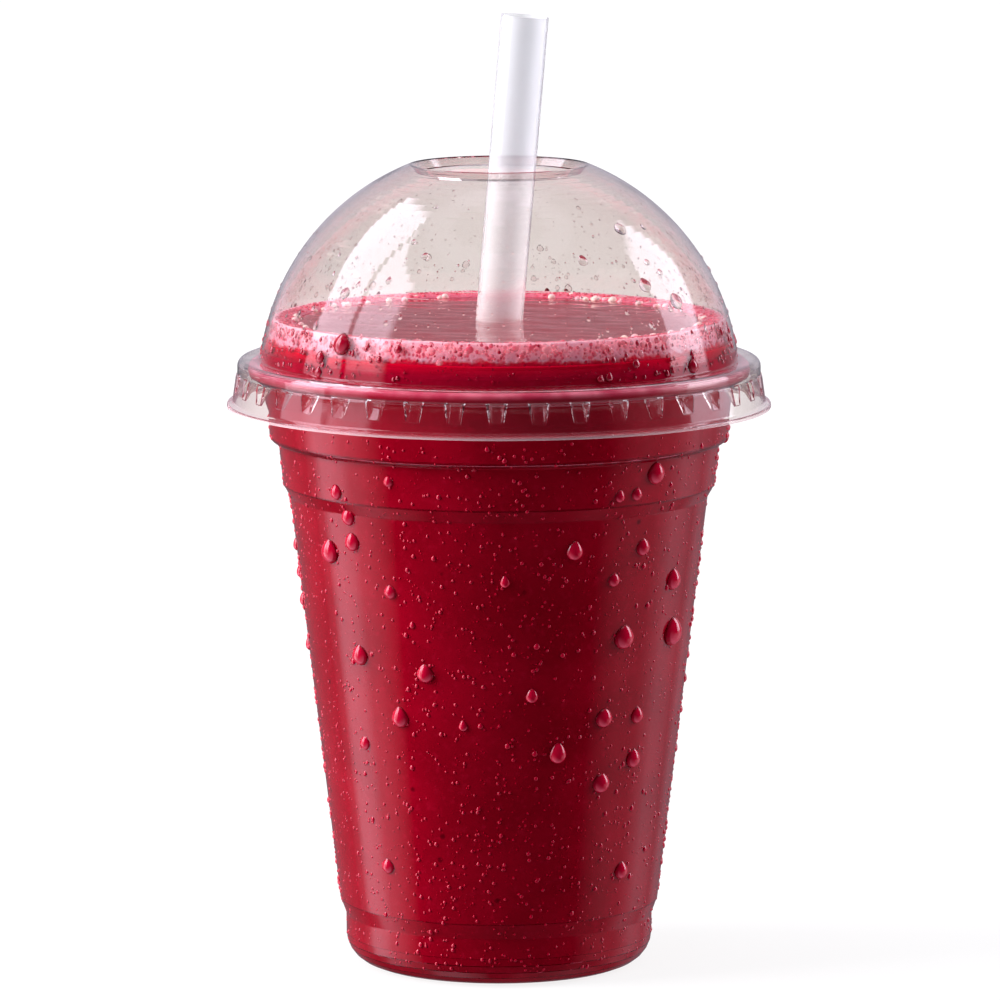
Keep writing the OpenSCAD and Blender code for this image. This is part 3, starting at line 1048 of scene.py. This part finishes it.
# Brightness of what the wet plastic mirrors: the dark front, grey sides, backdrop, table and top panel
FRONT_DARK = 0.004
SIDE_GREY = 0.17
BACKDROP = 0.34
TABLE_BELOW = 0.04
TOP_PANEL = 0.3
# Where each of them fades in or out. Across is the angle to either side of the camera, in degrees.
SIDES_ACROSS = (95, 125)
SIDES_FOOT = (-45, -18)
SIDES_LEAST = 0.15
BACKDROP_ACROSS = (138, 158)
BACKDROP_FOOT = (-8, 2)
TABLE_TOP = (-55, -35)
TOP_PANEL_FOOT = (62, 66)
TOP_PANEL_TOP = (73.5, 74.5)

# The softboxes' lower parts, which the cup's wall mirrors: [(azimuth, brightness), ...]
LOW_LEFT = [
    (-124, 0), (-116, 0.3), (-109, 1.6), (-102, 1.95), (-94, 1.75),
    (-87, 1.0), (-80, 0.8), (-75, 0.6), (-68, 0.3), (-61, 0),
]
LOW_RIGHT = [
    (58, 0), (70, 0.16), (80, 0.26), (97, 0.26), (106, 0.38),
    (116, 0.5), (128, 0.25), (138, 0.05), (150, 0.12), (165, 0),
]
# The lower parts reach up to this elevation and the panels start there, with a soft edge between.
# Far below it the lower parts are weaker.
LOW_FROM = -9
LOW_SOFT = 4
LOW_FADE = (-46, -24)
LOW_LEAST = 0.3

# Edges of the softboxes that the photograph shows in the dome: [(elevation, azimuth), ...] in degrees
LEFT_BOX_EDGE = [(20, -108), (28, -112), (37, -124), (46, -146)]
LEFT_BOX_SPLIT = [(7, -81), (33, -86), (58, -101), (64, -123)]
LEFT_PANEL_EDGE = [(-18, -62), (7, -58), (48, -62), (59, -100)]
RIGHT_BOX_EDGE = [(4, 91), (16, 95), (39, 103), (43, 109)]
RIGHT_BOX_BACK = [(1, 120), (11, 120), (23, 133)]
# Half the dark gap between the two panels on the left
BOX_GAP = 1.6
# Their upper ends: [(azimuth, elevation), ...]
LEFT_BOX_ROOF = [(-146, 47.8), (-137, 55.8), (-123, 64)]
LEFT_PANEL_ROOF = [(0, 60)]
RIGHT_BOX_ROOF = [(0, 43)]
ROOF_SOFT = 2.5
# How bright they are: [(elevation, brightness), ...]
LEFT_BOX_LIGHT = [(-9, 1.3), (3, 1.6), (10, 2.0), (18, 3.6)]
LEFT_PANEL_LIGHT = [(-9, 0.7), (5, 0.95), (28, 3.6)]
RIGHT_BOX_LIGHT = [(-9, 0.4), (-2, 0.5), (0, 1.6), (12, 3.0)]

# What matt surfaces receive from the studio: [(elevation, brightness), ...]
DIFFUSE_FILL = [
    (-90, 1.0), (-50, 0.95), (-30, 0.45), (-12, 0.16), (0, 0.06),
    (35, 0.08), (55, 0.3), (70, 1.2), (90, 1.5),
]
# Light that is piped along inside the clear sheet comes out at its bends and edges
INNER_LIGHT = 0.7
# The faint violet of the photograph's highlights
VIOLET_WHITE = (1.0, 0.935, 1.09)


def world_angles(tree):
    """The azimuth and elevation, in degrees, of the direction that the world is seen in."""
    way = add(tree, "ShaderNodeTexCoord").outputs["Generated"]
    x, y, z = add(tree, "ShaderNodeSeparateXYZ", {0: way}).outputs
    turn = math_of(tree, "ARCTAN2", x, math_of(tree, "MULTIPLY", y, -1.0))
    return math_of(tree, "DEGREES", turn), math_of(tree, "DEGREES", math_of(tree, "ARCSINE", z))


def room_light(tree, azimuth, elevation):
    """The studio without its softboxes."""
    across = math_of(tree, "ABSOLUTE", azimuth)
    sides = ramp(tree, across, *SIDES_ACROSS, FRONT_DARK, SIDE_GREY)
    foot = ramp(tree, elevation, *SIDES_FOOT, SIDES_LEAST, 1.0)
    backdrop = product(
        tree, ramp(tree, across, *BACKDROP_ACROSS), ramp(tree, elevation, *BACKDROP_FOOT), BACKDROP)
    top_panel = product(
        tree, ramp(tree, elevation, *TOP_PANEL_FOOT), ramp(tree, elevation, *TOP_PANEL_TOP, TOP_PANEL, 0.0))
    table = ramp(tree, elevation, *TABLE_TOP, TABLE_BELOW, 0.0)
    return total_of(tree, product(tree, sides, foot), backdrop, top_panel, table)


def past_edge(tree, at, edge, soft, before=0.0, after=1.0):
    """Goes from one value to another across an edge with a soft border."""
    return ramp(tree, math_of(tree, "SUBTRACT", at, edge), -soft, soft, before, after)


def panel_light(tree, azimuth, elevation, edges, softness, roof, light):
    """One softbox: its two upright edges with their softness, its upper end and its brightness."""
    start, end = (steps(tree, elevation, edge) for edge in edges)
    return product(
        tree,
        past_edge(tree, azimuth, start, softness[0]),
        past_edge(tree, azimuth, end, softness[1], 1.0, 0.0),
        past_edge(tree, elevation, LOW_FROM, LOW_SOFT),
        past_edge(tree, elevation, steps(tree, azimuth, roof), ROOF_SOFT, 1.0, 0.0),
        steps(tree, elevation, light))


def shifted(edge, by):
    return [(elevation, azimuth + by) for elevation, azimuth in edge]


def studio_light(tree, azimuth, elevation):
    """How bright the studio is, seen in a reflection, for each direction away from the cup."""
    left_box = (LEFT_BOX_EDGE, shifted(LEFT_BOX_SPLIT, -BOX_GAP))
    left_panel = (shifted(LEFT_BOX_SPLIT, BOX_GAP), LEFT_PANEL_EDGE)
    right_box = (RIGHT_BOX_EDGE, RIGHT_BOX_BACK)
    low_part = product(
        tree,
        past_edge(tree, elevation, LOW_FROM, LOW_SOFT, 1.0, 0.0),
        ramp(tree, elevation, *LOW_FADE, LOW_LEAST, 1.0))
    return total_of(
        tree,
        room_light(tree, azimuth, elevation),
        panel_light(tree, azimuth, elevation, left_box, (1, 1), LEFT_BOX_ROOF, LEFT_BOX_LIGHT),
        panel_light(tree, azimuth, elevation, left_panel, (1, 3), LEFT_PANEL_ROOF, LEFT_PANEL_LIGHT),
        panel_light(tree, azimuth, elevation, right_box, (1, 2), RIGHT_BOX_ROOF, RIGHT_BOX_LIGHT),
        product(tree, low_part, steps(tree, azimuth, LOW_LEFT)),
        product(tree, low_part, steps(tree, azimuth, LOW_RIGHT)))


def make_world():
    world = bpy.data.worlds.new("world")
    tree = new_tree(world)
    path = add(tree, "ShaderNodeLightPath").outputs
    azimuth, elevation = world_angles(tree)
    studio = studio_light(tree, azimuth, elevation)
    fill = steps(tree, elevation, DIFFUSE_FILL)
    light = add(tree, "ShaderNodeMix", {0: path["Is Diffuse Ray"], 2: studio, 3: fill}).outputs[0]
    piped = product(
        tree,
        math_of(tree, "GREATER_THAN", path["Glossy Depth"], 1.5),
        math_of(tree, "GREATER_THAN", path["Transmission Depth"], 0.5),
        INNER_LIGHT)
    light = math_of(tree, "MAXIMUM", light, piped)
    through = straight_through(tree)
    strength = add(tree, "ShaderNodeMix", {0: through, 2: light, 3: 1.0}).outputs[0]
    colour = mixed_colour(tree, through, (*VIOLET_WHITE, 1), (1, 1, 1, 1))
    background = add(tree, "ShaderNodeBackground", {"Color": colour, "Strength": strength}).outputs[0]
    finish_material(tree, background, "ShaderNodeOutputWorld")
    bpy.context.scene.world = world


LAMP_DISTANCE = 0.9
LAMP_WIDTH = 0.6


def softbox(name, azimuth, elevation, height, radiance):
    """A rectangular softbox that faces the cup. Its reflection comes from the world, so it only lights."""
    lamp = bpy.data.lights.new(name, "AREA")
    lamp.shape = "RECTANGLE"
    lamp.size, lamp.size_y = LAMP_WIDTH, height
    # The watts at which a lamp of this size shows this radiance
    lamp.energy = radiance * math.pi * LAMP_WIDTH * height
    box = bpy.data.objects.new(name, lamp)
    bpy.context.scene.collection.objects.link(box)
    way = vector(azimuth, elevation)
    box.location = SCENE_CENTRE + way * LAMP_DISTANCE
    box.rotation_euler = way.to_track_quat("Z", "Y").to_euler()
    box.visible_camera = False
    box.visible_transmission = False
    box.visible_glossy = False


make_floor()
make_world()
softbox("left_key", -80, 22, height=0.8, radiance=11.0)
softbox("right_fill", 97, 20, height=0.7, radiance=5.7)

scene = bpy.context.scene
# Light crosses many clear walls before it reaches the camera
scene.cycles.max_bounces = 16
scene.cycles.glossy_bounces = 8
scene.cycles.transmission_bounces = 16
scene.cycles.transparent_max_bounces = 24
scene.view_settings.view_transform = "Standard"
